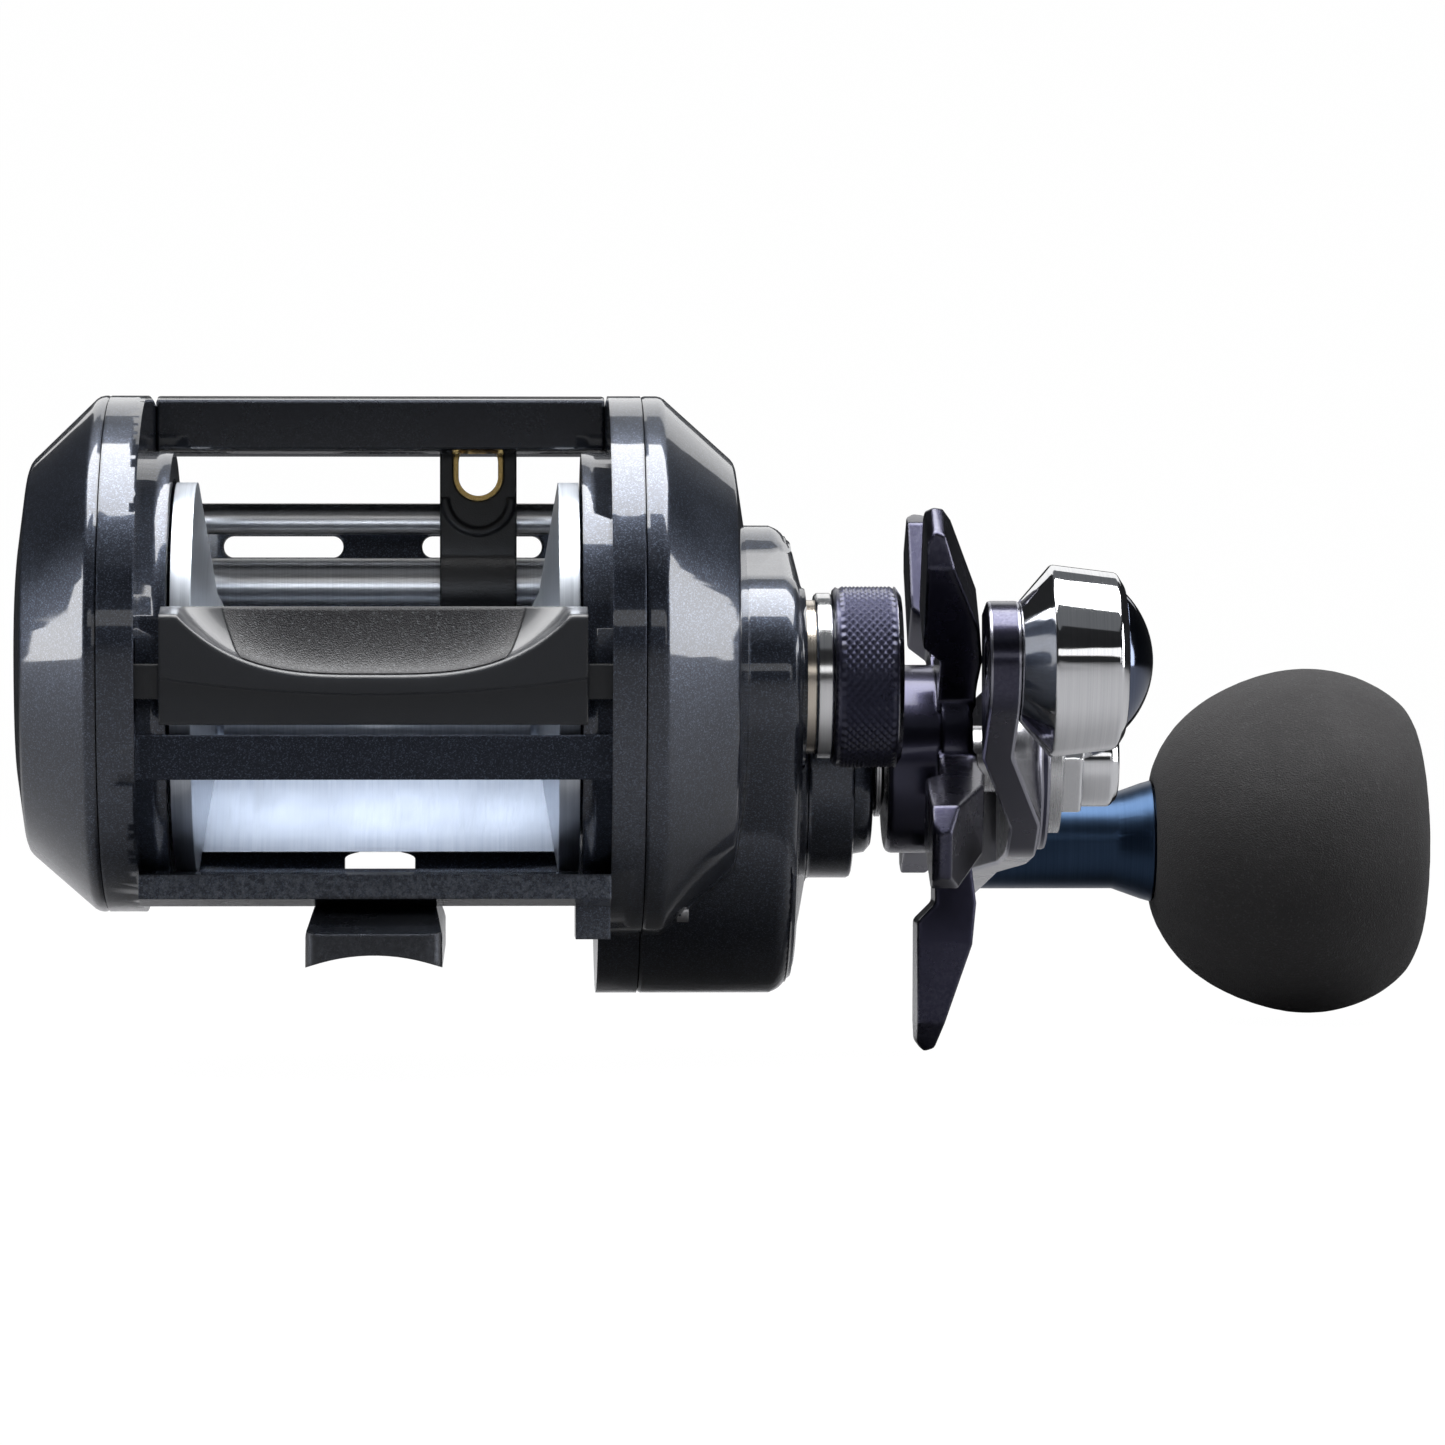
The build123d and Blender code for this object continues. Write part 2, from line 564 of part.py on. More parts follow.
with BuildPart() as pressure_plate:
    ring(drag_start + 4.4, drag_start + 5.4, 15.8, crank_radius, drive_y, drive_z)
save(pressure_plate, "pressure_plate")

with BuildPart() as drive_bearing:
    ring(ring_inner + 0.6, gear_seam, 7.0, crank_radius + 0.05, drive_y, drive_z)
save(drive_bearing, "drive_bearing")

with BuildPart() as clutch_sleeve:
    ring(drag_start + 5.4, 59.2, 6.0, crank_radius, drive_y, drive_z)
save(clutch_sleeve, "clutch_sleeve")

with BuildPart() as anti_reverse_bearing:
    ring(46.0, 55.6, 9.5, 6.06, drive_y, drive_z)
save(anti_reverse_bearing, "anti_reverse_bearing")

with BuildPart() as bearing_retainer:
    turned([(56.7, 6.4), (56.7, 11.6), (58.4, 11.3), (59.1, 10.5), (59.1, 6.4)], drive_y, drive_z)
save(bearing_retainer, "bearing_retainer")

with BuildPart() as drag_springs:
    turned([(59.3, 4.2), (59.3, 5.6), (59.7, 7.0), (60.0, 7.0), (59.6, 5.4), (59.6, 4.2)], drive_y, drive_z)
    turned([(60.4, 4.2), (60.4, 5.4), (60.0, 7.0), (60.3, 7.0), (60.7, 5.6), (60.7, 4.2)], drive_y, drive_z)
save(drag_springs, "drag_springs")

with BuildPart() as cover_screws:
    for y, z in cover_screw_places:
        rod(ring_inner, cover_screw_seat, 1.2, y, z)
        rod(cover_screw_seat, cover_screw_seat + 1.4, 1.9, y, z)
        with Locations((cover_screw_seat + 1.2, y, axis_height + z)):
            Box(0.8, 4, 0.6, mode=Mode.SUBTRACT)
save(cover_screws, "cover_screws")

# ---------------------------------------------------------------- cast control
with BuildPart() as thread_ring:
    ring(boss_end, 51.2, 9.06, thread_radius)
save(thread_ring, "thread_ring")

with BuildPart() as cap_collar:
    turned([(51.2, thread_radius), (51.2, 9.6), (51.5, 9.9), (53.0, 9.9), (53.2, 9.7),
            (53.2, thread_radius)])
save(cap_collar, "cap_collar")

with BuildPart() as cast_control_cap:
    turned([(53.4, 8.15), (53.4, 10.4), (53.7, 10.7), (60.4, 10.7), (61.4, 9.7), (61.4, 0), (58.5, 0),
            (58.5, 8.15)])
save(cast_control_cap, "cast_control_cap")

with BuildPart() as cap_shim:
    rod(57.2, 58.5, 4.4)
save(cap_shim, "cap_shim")
print("drive train done")

# ---------------------------------------------------------------- star drag
star_start = 60.9
star_hub_radius = 11.4
star_reach = 35.4
star_first_arm = -90
star_arms = 5
radial = Plane(origin=(0, drive_y, axis_height + drive_z), x_dir=(0, 1, 0), z_dir=(0, 0, -1))
with BuildPart() as star_arm:
    with BuildSketch(radial) as side_view:
        with BuildLine():
            Polyline((9, 66.8), (17.4, 66.9), (19.6, 64.7), (34.2, 64.7), (star_reach, 65.6), (35.0, 66.9),
                     (22.4, 71.4), (17.4, 71.9), (9, 70.9), close=True)
        make_face()
    extrude(side_view.sketch, amount=10, both=True)
    with BuildSketch(section(60, drive_y, drive_z)) as front_view:
        with BuildLine():
            Polyline((6, -5.2), (14, -4.0), (22, -4.4), (star_reach - 3.4, -5.2), (star_reach, -2.6),
                     (star_reach, 2.6), (star_reach - 3.4, 5.2), (22, 4.4), (14, 4.0), (6, 5.2), close=True)
        make_face()
    extrude(front_view.sketch, amount=15, mode=Mode.INTERSECT)

with BuildPart() as star_drag:
    turned([(star_start, 4.15), (star_start, 10.9), (star_start + 0.5, star_hub_radius),
            (67.2, star_hub_radius), (67.2, 12.6), (70.6, 12.6), (71.0, 12.0), (71.0, 4.15)],
           drive_y, drive_z)
    for arm in range(star_arms):
        turn = star_first_arm + 360 * arm / star_arms
        add(star_arm.part.rotate(Axis((0, drive_y, axis_height + drive_z), (1, 0, 0)), turn))
save(star_drag, "star_drag")

# ---------------------------------------------------------------- handle
boss_face = 80.4
with BuildPart() as handle_arm:
    with BuildSketch(Plane.XY.offset(-40)) as bent_strip:
        with BuildLine():
            Polyline((70.9, -17), (70.9, -2.0), (75.4, 14), (75.4, 34), (72.9, 48), (72.9, 103),
                     (76.7, 103), (76.7, 48.3), (79.2, 34.5), (79.2, 13.5), (74.7, -2.4), (74.7, -17),
                     close=True)
        make_face()
        fillet(bent_strip.vertices().sort_by(Axis.Y)[2:-2], radius=4)
    extrude(bent_strip.sketch, amount=120)
    rod(75.4, boss_face, 11.0, drive_y, drive_z)
    with BuildSketch(section(60)) as blade:
        with Locations((weight_y, weight_z)):
            Circle(7.0)
        with Locations((drive_y, drive_z)):
            Circle(12.0)
        make_hull()
    with BuildSketch(section(60)) as long_blade:
        with Locations((drive_y, drive_z)):
            Circle(12.0)
        with Locations((knob_y, knob_z)):
            Circle(7.4)
        make_hull()
    extrude(blade.sketch + long_blade.sketch, amount=40, mode=Mode.INTERSECT)
    rod(70, 90, crank_radius, drive_y, drive_z, mode=Mode.SUBTRACT)
    rod(70, 90, 2.5, weight_y, weight_z, mode=Mode.SUBTRACT)
    rod(70, 90, 3.0, knob_y, knob_z, mode=Mode.SUBTRACT)
save(handle_arm, "handle_arm")

with BuildPart() as handle_washer:
    ring(boss_face, 82.0, 9.0, crank_radius, drive_y, drive_z)
save(handle_washer, "handle_washer")

nut_radius = 7.4
with BuildPart() as handle_nut:
    with BuildSketch(section(82.0, drive_y, drive_z)) as hexagon:
        RegularPolygon(nut_radius, 6)
        Circle(crank_radius, mode=Mode.SUBTRACT)
    extrude(hexagon.sketch, amount=2.6)
save(handle_nut, "handle_nut")

with BuildPart() as nut_cap:
    turned([(84.6, 0), (84.6, 5.8), (88.2, 5.8), (89.2, 4.8), (89.2, 0)], drive_y, drive_z)
save(nut_cap, "nut_cap")

with BuildPart() as counterweight:
    turned([(70.9, 0), (70.9, 2.5), (74.7, 2.5), (74.7, 7.0), (75.0, 7.3), (78.4, 11.25), (86.0, 10.3),
            (87.0, 8.7), (87.0, 0)], weight_y, weight_z)
save(counterweight, "counterweight")

dome_radius, dome_height = 8.1, 3.4
dome_bend = (dome_radius**2 + dome_height**2) / (2 * dome_height)
dome_centre = 87.0 + dome_height - dome_bend
dome_angle = asin(dome_radius / dome_bend)
with BuildPart() as counterweight_cap:
    with BuildSketch(across(weight_y, weight_z)) as dome:
        with BuildLine():
            Line((87.0, 0), (87.0, dome_radius))
            ThreePointArc((87.0, dome_radius),
                          (dome_centre + dome_bend * cos(dome_angle / 2), dome_bend * sin(dome_angle / 2)),
                          (87.0 + dome_height, 0))
            Line((87.0 + dome_height, 0), (87.0, 0))
        make_face()
    revolve(dome.sketch, axis=Axis((0, weight_y, axis_height + weight_z), (1, 0, 0)))
save(counterweight_cap, "counterweight_cap")

# ---------------------------------------------------------------- knob
with BuildPart() as knob_spindle:
    rod(72.9, 125.0, 3.0, knob_y, knob_z)
    rod(76.7, 77.2, 4.2, knob_y, knob_z)
save(knob_spindle, "knob_spindle")

with BuildPart() as knob_screw:
    rod(125.0, 126.8, 4.2, knob_y, knob_z)
    with Locations((126.6, knob_y, axis_height + knob_z)):
        Box(0.8, 10, 0.9, mode=Mode.SUBTRACT)
save(knob_screw, "knob_screw")

neck_x = 100.2
core_end = 128.5
with BuildPart() as knob_ferrule:
    turned([(80.5, 3.3), (80.5, 5.0), (77.4, 5.0), (77.4, 6.24), (95.0, 6.24), (98.8, 7.6), (neck_x, 8.0),
            (neck_x, 7.0), (core_end, 7.0), (core_end, 5.0), (121.4, 5.0), (121.4, 3.3)], knob_y, knob_z)
save(knob_ferrule, "knob_ferrule")

with BuildPart() as knob_bearings:
    ring(77.6, 80.5, 5.0, 3.05, knob_y, knob_z)
    ring(121.4, 124.3, 5.0, 3.05, knob_y, knob_z)
save(knob_bearings, "knob_bearings")

ball_radius = 22.85
with BuildPart() as knob_grip:
    with BuildSketch(across(knob_y, knob_z)) as ball:
        with BuildLine():
            Line((neck_x, 7.0), (neck_x, 8.9))
            Spline((neck_x, 8.9), (105.4, 17.0), (112.4, 21.1), (120.5, ball_radius), (128.0, 21.4),
                   (133.6, 17.6))
            Spline((133.6, 17.6), (135.2, 14.4), (136.0, 9.6), (136.2, 5.0), tangents=((0.7, -1), (0, -1)))
            Line((136.2, 5.0), (136.2, 0))
            Line((136.2, 0), (core_end + 0.2, 0))
            Line((core_end + 0.2, 0), (core_end + 0.2, 7.0))
            Line((core_end + 0.2, 7.0), (neck_x, 7.0))
        make_face()
    revolve(ball.sketch, axis=Axis((0, knob_y, axis_height + knob_z), (1, 0, 0)))
save(knob_grip, "knob_grip")
print("star, handle and knob done")
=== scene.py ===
import bmesh
import bpy
import json
from math import atan2, cos, pi, radians, sin, sqrt
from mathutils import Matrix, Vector, noise

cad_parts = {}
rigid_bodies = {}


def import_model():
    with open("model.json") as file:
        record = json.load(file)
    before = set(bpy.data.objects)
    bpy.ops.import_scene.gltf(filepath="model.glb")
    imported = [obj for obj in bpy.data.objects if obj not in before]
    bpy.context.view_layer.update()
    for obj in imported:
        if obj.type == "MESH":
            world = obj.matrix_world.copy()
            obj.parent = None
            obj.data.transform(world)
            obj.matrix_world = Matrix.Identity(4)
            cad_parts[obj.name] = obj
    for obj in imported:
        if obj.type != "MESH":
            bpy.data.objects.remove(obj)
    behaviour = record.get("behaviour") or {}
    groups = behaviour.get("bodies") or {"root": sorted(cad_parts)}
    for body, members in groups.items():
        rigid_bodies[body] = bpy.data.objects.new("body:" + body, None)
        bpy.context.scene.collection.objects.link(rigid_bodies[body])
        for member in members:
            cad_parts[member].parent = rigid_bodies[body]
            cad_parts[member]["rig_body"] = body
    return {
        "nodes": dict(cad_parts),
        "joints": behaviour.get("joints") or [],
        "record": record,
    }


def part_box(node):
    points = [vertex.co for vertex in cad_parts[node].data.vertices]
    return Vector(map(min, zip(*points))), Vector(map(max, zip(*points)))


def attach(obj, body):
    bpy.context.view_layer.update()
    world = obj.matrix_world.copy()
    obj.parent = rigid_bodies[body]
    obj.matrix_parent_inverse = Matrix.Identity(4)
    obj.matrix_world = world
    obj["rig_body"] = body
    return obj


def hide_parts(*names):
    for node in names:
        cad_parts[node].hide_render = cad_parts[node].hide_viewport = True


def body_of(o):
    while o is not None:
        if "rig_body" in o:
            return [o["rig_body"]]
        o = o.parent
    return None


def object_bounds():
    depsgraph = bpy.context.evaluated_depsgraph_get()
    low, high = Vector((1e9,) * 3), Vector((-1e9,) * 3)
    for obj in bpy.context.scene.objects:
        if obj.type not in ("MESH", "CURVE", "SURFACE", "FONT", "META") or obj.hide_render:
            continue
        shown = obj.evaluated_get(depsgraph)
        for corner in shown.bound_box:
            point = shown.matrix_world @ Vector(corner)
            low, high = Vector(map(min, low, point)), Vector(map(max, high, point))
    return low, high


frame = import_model()
nodes = frame["nodes"]
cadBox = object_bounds()
joints = {joint["name"]: joint for joint in frame["joints"]}
mm = 0.001
spoolAxis = Vector(joints["spool_spin"]["pos_m"])
crankAxis = Vector(joints["crank_turn"]["pos_m"])
knobAxis = Vector(joints["knob_spin"]["pos_m"])
wormAxis = Vector(joints["worm_spin"]["pos_m"])
weightLow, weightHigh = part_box("counterweight")
weightAxis = (weightLow + weightHigh) / 2
print("frame loaded:", len(nodes), "nodes")


# node tree helpers

def addNode(tree, kind, **values):
    node = tree.nodes.new(kind)
    for key, value in values.items():
        if hasattr(node, key):
            setattr(node, key, value)
        else:
            node.inputs[key.replace("_", " ")].default_value = value
    return node


def wire(tree, source, target):
    tree.links.new(source, target)


def maths(tree, operation, first, second=None):
    node = addNode(tree, "ShaderNodeMath", operation=operation)
    for socket, value in zip(node.inputs, (first, second)):
        if isinstance(value, (int, float)):
            socket.default_value = value
        elif value is not None:
            wire(tree, value, socket)
    return node.outputs[0]


def ranged(tree, value, fromLow, fromHigh, low, high):
    node = addNode(tree, "ShaderNodeMapRange", From_Min=fromLow, From_Max=fromHigh,
                   To_Min=low, To_Max=high)
    wire(tree, value, node.inputs["Value"])
    return node.outputs[0]


def blendColours(tree, factor, low, high):
    mix = addNode(tree, "ShaderNodeMix", data_type="RGBA")
    for socket, colour in ((mix.inputs[6], low), (mix.inputs[7], high)):
        if isinstance(colour, tuple):
            socket.default_value = (*colour, 1)
        else:
            wire(tree, colour, socket)
    wire(tree, factor, mix.inputs[0])
    return mix.outputs[2]


def newGroup(name, inputs, outputs):
    group = bpy.data.node_groups.new(name, "ShaderNodeTree")
    group.interface.new_socket(name="Vector", in_out="INPUT", socket_type="NodeSocketVector")
    for label, value in inputs.items():
        socket = group.interface.new_socket(name=label, in_out="INPUT", socket_type="NodeSocketFloat")
        socket.default_value = value
    for label in outputs:
        group.interface.new_socket(name=label, in_out="OUTPUT", socket_type="NodeSocketFloat")
    return group, group.nodes.new("NodeGroupInput"), group.nodes.new("NodeGroupOutput")


# metal flakes under clear coat: one random glint in each cell
flakeGroup, start, end = newGroup("metalFlakes", {"Scale": 5000.0, "Sharpness": 4.0}, ["Glint", "Height"])
cells = addNode(flakeGroup, "ShaderNodeTexVoronoi", feature="F1")
wire(flakeGroup, start.outputs["Vector"], cells.inputs["Vector"])
wire(flakeGroup, start.outputs["Scale"], cells.inputs["Scale"])
split = addNode(flakeGroup, "ShaderNodeSeparateColor")
wire(flakeGroup, cells.outputs["Color"], split.inputs[0])
glint = maths(flakeGroup, "POWER", split.outputs[0], start.outputs["Sharpness"])
wire(flakeGroup, glint, end.inputs["Glint"])
wire(flakeGroup, split.outputs[1], end.inputs["Height"])

# fine turning marks round an axis along X
latheGroup, start, end = newGroup("turningMarks", {"Along": 6000.0, "Across": 9000.0, "Around": 60.0},
                                  ["Value"])
split = addNode(latheGroup, "ShaderNodeSeparateXYZ")
wire(latheGroup, start.outputs["Vector"], split.inputs[0])
squareY = maths(latheGroup, "MULTIPLY", split.outputs[1], split.outputs[1])
squareZ = maths(latheGroup, "MULTIPLY", split.outputs[2], split.outputs[2])
reach = maths(latheGroup, "SQRT", maths(latheGroup, "ADD", squareY, squareZ))
join = addNode(latheGroup, "ShaderNodeCombineXYZ")
stretches = ((split.outputs[0], "Along"), (reach, "Across"), (split.outputs[2], "Around"))
for index, (distance, label) in enumerate(stretches):
    stretched = maths(latheGroup, "MULTIPLY", distance, start.outputs[label])
    wire(latheGroup, stretched, join.inputs[index])
marks = addNode(latheGroup, "ShaderNodeTexNoise", Scale=1.0, Detail=3.0, Roughness=0.6)
wire(latheGroup, join.outputs[0], marks.inputs["Vector"])
wire(latheGroup, marks.outputs[0], end.inputs["Value"])

# uneven handling marks, a slow cloud with finer smears in it
smudgeGroup, start, end = newGroup("handlingMarks", {"Scale": 70.0, "Low": 0.2, "High": 0.3},
                                   ["Roughness", "Cloud"])
cloud = addNode(smudgeGroup, "ShaderNodeTexNoise", Detail=6.0, Roughness=0.65)
wire(smudgeGroup, start.outputs["Vector"], cloud.inputs["Vector"])
wire(smudgeGroup, start.outputs["Scale"], cloud.inputs["Scale"])
spread = addNode(smudgeGroup, "ShaderNodeMapRange", From_Min=0.32, From_Max=0.68)
wire(smudgeGroup, cloud.outputs[0], spread.inputs["Value"])
wire(smudgeGroup, start.outputs["Low"], spread.inputs["To Min"])
wire(smudgeGroup, start.outputs["High"], spread.inputs["To Max"])
wire(smudgeGroup, spread.outputs[0], end.inputs["Roughness"])
wire(smudgeGroup, cloud.outputs[0], end.inputs["Cloud"])

# rubbed edges, broken up by noise
wearGroup, start, end = newGroup("edgeWear", {"Scale": 1500.0, "Start": 0.53, "Full": 0.6}, ["Mask"])
shape = addNode(wearGroup, "ShaderNodeNewGeometry")
breakup = addNode(wearGroup, "ShaderNodeTexNoise", Detail=4.0, Roughness=0.7)
wire(wearGroup, start.outputs["Vector"], breakup.inputs["Vector"])
wire(wearGroup, start.outputs["Scale"], breakup.inputs["Scale"])
edge = addNode(wearGroup, "ShaderNodeMapRange", To_Min=0.0, To_Max=1.0)
wire(wearGroup, shape.outputs["Pointiness"], edge.inputs["Value"])
wire(wearGroup, start.outputs["Start"], edge.inputs["From Min"])
wire(wearGroup, start.outputs["Full"], edge.inputs["From Max"])
broken = ranged(wearGroup, breakup.outputs[0], 0.42, 0.62, 0.0, 1.0)
wire(wearGroup, maths(wearGroup, "MULTIPLY", edge.outputs[0], broken), end.inputs["Mask"])

# fine moulded grain for plastic, pad and foam
grainGroup, start, end = newGroup("mouldedGrain", {"Scale": 3000.0}, ["Value", "Height"])
fine = addNode(grainGroup, "ShaderNodeTexNoise", Detail=5.0, Roughness=0.75)
pits = addNode(grainGroup, "ShaderNodeTexVoronoi", feature="F1")
for texture in (fine, pits):
    wire(grainGroup, start.outputs["Vector"], texture.inputs["Vector"])
    wire(grainGroup, start.outputs["Scale"], texture.inputs["Scale"])
wire(grainGroup, fine.outputs[0], end.inputs["Value"])
softened = maths(grainGroup, "MULTIPLY", fine.outputs[0], 0.6)
wire(grainGroup, maths(grainGroup, "ADD", softened, pits.outputs["Distance"]), end.inputs["Height"])
print("shared effects ready")


def newFinish(name, centre=(0, 0, 0), **shaderValues):
    material = bpy.data.materials.new(name)
    material.use_nodes = True
    tree = material.node_tree
    shader = tree.nodes["Principled BSDF"]
    for socket, value in shaderValues.items():
        shader.inputs[socket.replace("_", " ")].default_value = value
    place = addNode(tree, "ShaderNodeTexCoord")
    move = addNode(tree, "ShaderNodeMapping", Location=[-value for value in centre])
    wire(tree, place.outputs["Object"], move.inputs["Vector"])
    return material, tree, shader.inputs, move.outputs[0]


def placeGroup(tree, group, vector, **values):
    node = addNode(tree, "ShaderNodeGroup", node_tree=group)
    for key, value in values.items():
        node.inputs[key].default_value = value
    wire(tree, vector, node.inputs["Vector"])
    return node.outputs


def surfaceNormal(tree, sockets, height, distance, edgeRadius=0.0):
    bump = addNode(tree, "ShaderNodeBump", Distance=distance)
    wire(tree, height, bump.inputs["Height"])
    if edgeRadius:
        rounded = addNode(tree, "ShaderNodeBevel", samples=4, Radius=edgeRadius)
        wire(tree, rounded.outputs[0], bump.inputs["Normal"])
    wire(tree, bump.outputs[0], sockets["Normal"])


# painted body: blue-black base, aluminium flakes, thick clear coat
paintLayer = {"metallic": 0.85, "coatRoughness": 0.05, "sharpness": 5.0, "smudgeScale": 90.0,
              "smudgeSpread": 0.08, "wearScale": 1800.0, "wearStart": 0.56, "wearFull": 0.66,
              "wearShare": 0.25, "wornColour": (0.32, 0.35, 0.4), "relief": 0.0000007,
              "edgeRadius": 0.0006}


def paintFinish(name, dark, light, glint, flakeScale, baseRoughness, coat):
    s = paintLayer
    material, tree, sockets, vector = newFinish(name, Metallic=s["metallic"], Coat_Weight=coat,
                                                Coat_Roughness=s["coatRoughness"])
    flakes = placeGroup(tree, flakeGroup, vector, Scale=flakeScale, Sharpness=s["sharpness"])
    smudges = placeGroup(tree, smudgeGroup, vector, Scale=s["smudgeScale"], Low=baseRoughness,
                         High=baseRoughness + s["smudgeSpread"])
    wear = placeGroup(tree, wearGroup, vector, Scale=s["wearScale"], Start=s["wearStart"],
                      Full=s["wearFull"])
    painted = blendColours(tree, smudges["Cloud"], dark, light)
    sparkled = blendColours(tree, flakes["Glint"], painted, glint)
    rubbed = maths(tree, "MULTIPLY", wear["Mask"], s["wearShare"])
    wire(tree, blendColours(tree, rubbed, sparkled, s["wornColour"]), sockets["Base Color"])
    wire(tree, smudges["Roughness"], sockets["Roughness"])
    surfaceNormal(tree, sockets, flakes["Height"], s["relief"], s["edgeRadius"])
    return material


bodyPaint = paintFinish("flakedBodyPaint", (0.02, 0.0235, 0.034), (0.03, 0.035, 0.049),
                        (0.09, 0.11, 0.155), flakeScale=8500.0, baseRoughness=0.32, coat=1.0)
footPaint = paintFinish("plainBlackPaint", (0.012, 0.014, 0.02), (0.017, 0.019, 0.026),
                        (0.03, 0.035, 0.045), flakeScale=8000.0, baseRoughness=0.24, coat=1.0)


# metals: turning marks run round the piece's own axis
metalSurface = {"acrossRatio": 1.4, "around": 50.0, "smudgeScale": 160.0, "smudgeRatio": 1.18}


def metalFinish(name, centre, dark, light, roughness, marks=0.5, edge=0.0002, bump=0.000003,
                along=6000.0):
    s = metalSurface
    material, tree, sockets, vector = newFinish(name, centre, Metallic=1.0)
    turning = placeGroup(tree, latheGroup, vector, Along=along, Across=along * s["acrossRatio"],
                         Around=s["around"])
    smudges = placeGroup(tree, smudgeGroup, vector, Scale=s["smudgeScale"], Low=roughness,
                         High=roughness * s["smudgeRatio"])
    softStreak = ranged(tree, turning["Value"], 0.25, 0.75, 0.0, 1.0)
    wire(tree, blendColours(tree, softStreak, dark, light), sockets["Base Color"])
    streaked = maths(tree, "MULTIPLY", turning["Value"], marks * roughness)
    wire(tree, maths(tree, "ADD", smudges["Roughness"], streaked), sockets["Roughness"])
    surfaceNormal(tree, sockets, turning["Value"], bump, edge)
    return material


steel = metalFinish("polishedSteel", spoolAxis, (0.5, 0.5, 0.51), (0.66, 0.66, 0.67), 0.13)
wormSteel = metalFinish("wormTubeSteel", wormAxis, (0.66, 0.66, 0.67), (0.8, 0.8, 0.81), 0.24)
crankSteel = metalFinish("crankSteel", crankAxis, (0.5, 0.5, 0.51), (0.66, 0.66, 0.67), 0.2)
chrome = metalFinish("crankChrome", crankAxis, (0.74, 0.75, 0.77), (0.86, 0.86, 0.87), 0.045,
                     bump=0.0000008)
weightChrome = metalFinish("counterweightChrome", weightAxis, (0.7, 0.71, 0.73), (0.88, 0.88, 0.89), 0.04,
                           bump=0.000001)
champagne = metalFinish("champagneRing", spoolAxis, (0.6, 0.53, 0.45), (0.74, 0.67, 0.58), 0.16)
collarMetal = metalFinish("collarSilver", spoolAxis, (0.66, 0.66, 0.67), (0.82, 0.82, 0.82), 0.1)
brass = metalFinish("gearBrass", spoolAxis, (0.55, 0.36, 0.12), (0.72, 0.5, 0.2), 0.22)
guideGold = metalFinish("guideLinerGold", wormAxis, (0.62, 0.42, 0.14), (0.8, 0.58, 0.24), 0.16)
spoolSilver = metalFinish("spoolSatinSilver", spoolAxis, (0.5, 0.54, 0.6), (0.68, 0.72, 0.78), 0.24,
                          marks=0.9, bump=0.000006, along=3500.0)
# front shield: this light blue-silver is a painted highlight. The wall is the body's dark blue metal, made
# lighter here to stand for the bright band lit across it
shieldPaintedSheen = metalFinish("shieldBluePaintedSheen", spoolAxis, (0.2, 0.23, 0.29), (0.29, 0.33, 0.4), 0.36,
                          marks=0.6, bump=0.000006, along=2500.0)
smokeMirror = metalFinish("smokedDome", weightAxis, (0.07, 0.085, 0.13), (0.12, 0.14, 0.2), 0.05,
                          bump=0.0000006)
blueAnodised = metalFinish("blueFerrule", knobAxis, (0.02, 0.037, 0.07), (0.03, 0.052, 0.094), 0.24,
                           bump=0.000004)
cutEdge = metalFinish("brightCutEdge", crankAxis, (0.26, 0.26, 0.31), (0.4, 0.4, 0.45), 0.18)

# dyed aluminium: a thin clear layer, rubbed bright on its edges
anodisedLayer = {"coat": 0.35, "coatRoughness": 0.08, "smudgeScale": 120.0, "smudgeSpread": 0.1,
                 "grainScale": 9000.0, "wearScale": 2200.0, "wearStart": 0.54, "wearFull": 0.62,
                 "wearShare": 0.5, "wornColour": (0.5, 0.5, 0.58), "relief": 0.0000012,
                 "edgeRadius": 0.0005}


def anodisedFinish(name, centre, dark, light, roughness):
    s = anodisedLayer
    material, tree, sockets, vector = newFinish(name, centre, Metallic=1.0, Coat_Weight=s["coat"],
                                                Coat_Roughness=s["coatRoughness"])
    smudges = placeGroup(tree, smudgeGroup, vector, Scale=s["smudgeScale"], Low=roughness,
                         High=roughness + s["smudgeSpread"])
    grain = placeGroup(tree, grainGroup, vector, Scale=s["grainScale"])
    wear = placeGroup(tree, wearGroup, vector, Scale=s["wearScale"], Start=s["wearStart"],
                      Full=s["wearFull"])
    tinted = blendColours(tree, smudges["Cloud"], dark, light)
    rubbed = maths(tree, "MULTIPLY", wear["Mask"], s["wearShare"])
    wire(tree, blendColours(tree, rubbed, tinted, s["wornColour"]), sockets["Base Color"])
    wire(tree, smudges["Roughness"], sockets["Roughness"])
    surfaceNormal(tree, sockets, grain["Value"], s["relief"], s["edgeRadius"])
    return material


darkAnodised = anodisedFinish("indigoAnodised", crankAxis, (0.03, 0.03, 0.05), (0.045, 0.044, 0.073), 0.2)
capAnodised = anodisedFinish("capIndigo", spoolAxis, (0.03, 0.031, 0.052), (0.046, 0.047, 0.076),
                             0.26)

# plastics, pad and foam: moulded grain, with pale specks where asked for
plasticSurface = {"coatRoughness": 0.12, "smudgeScale": 80.0, "speckScale": 5200.0,
                  "speckSharpness": 9.0, "speckColour": (0.3, 0.31, 0.34)}


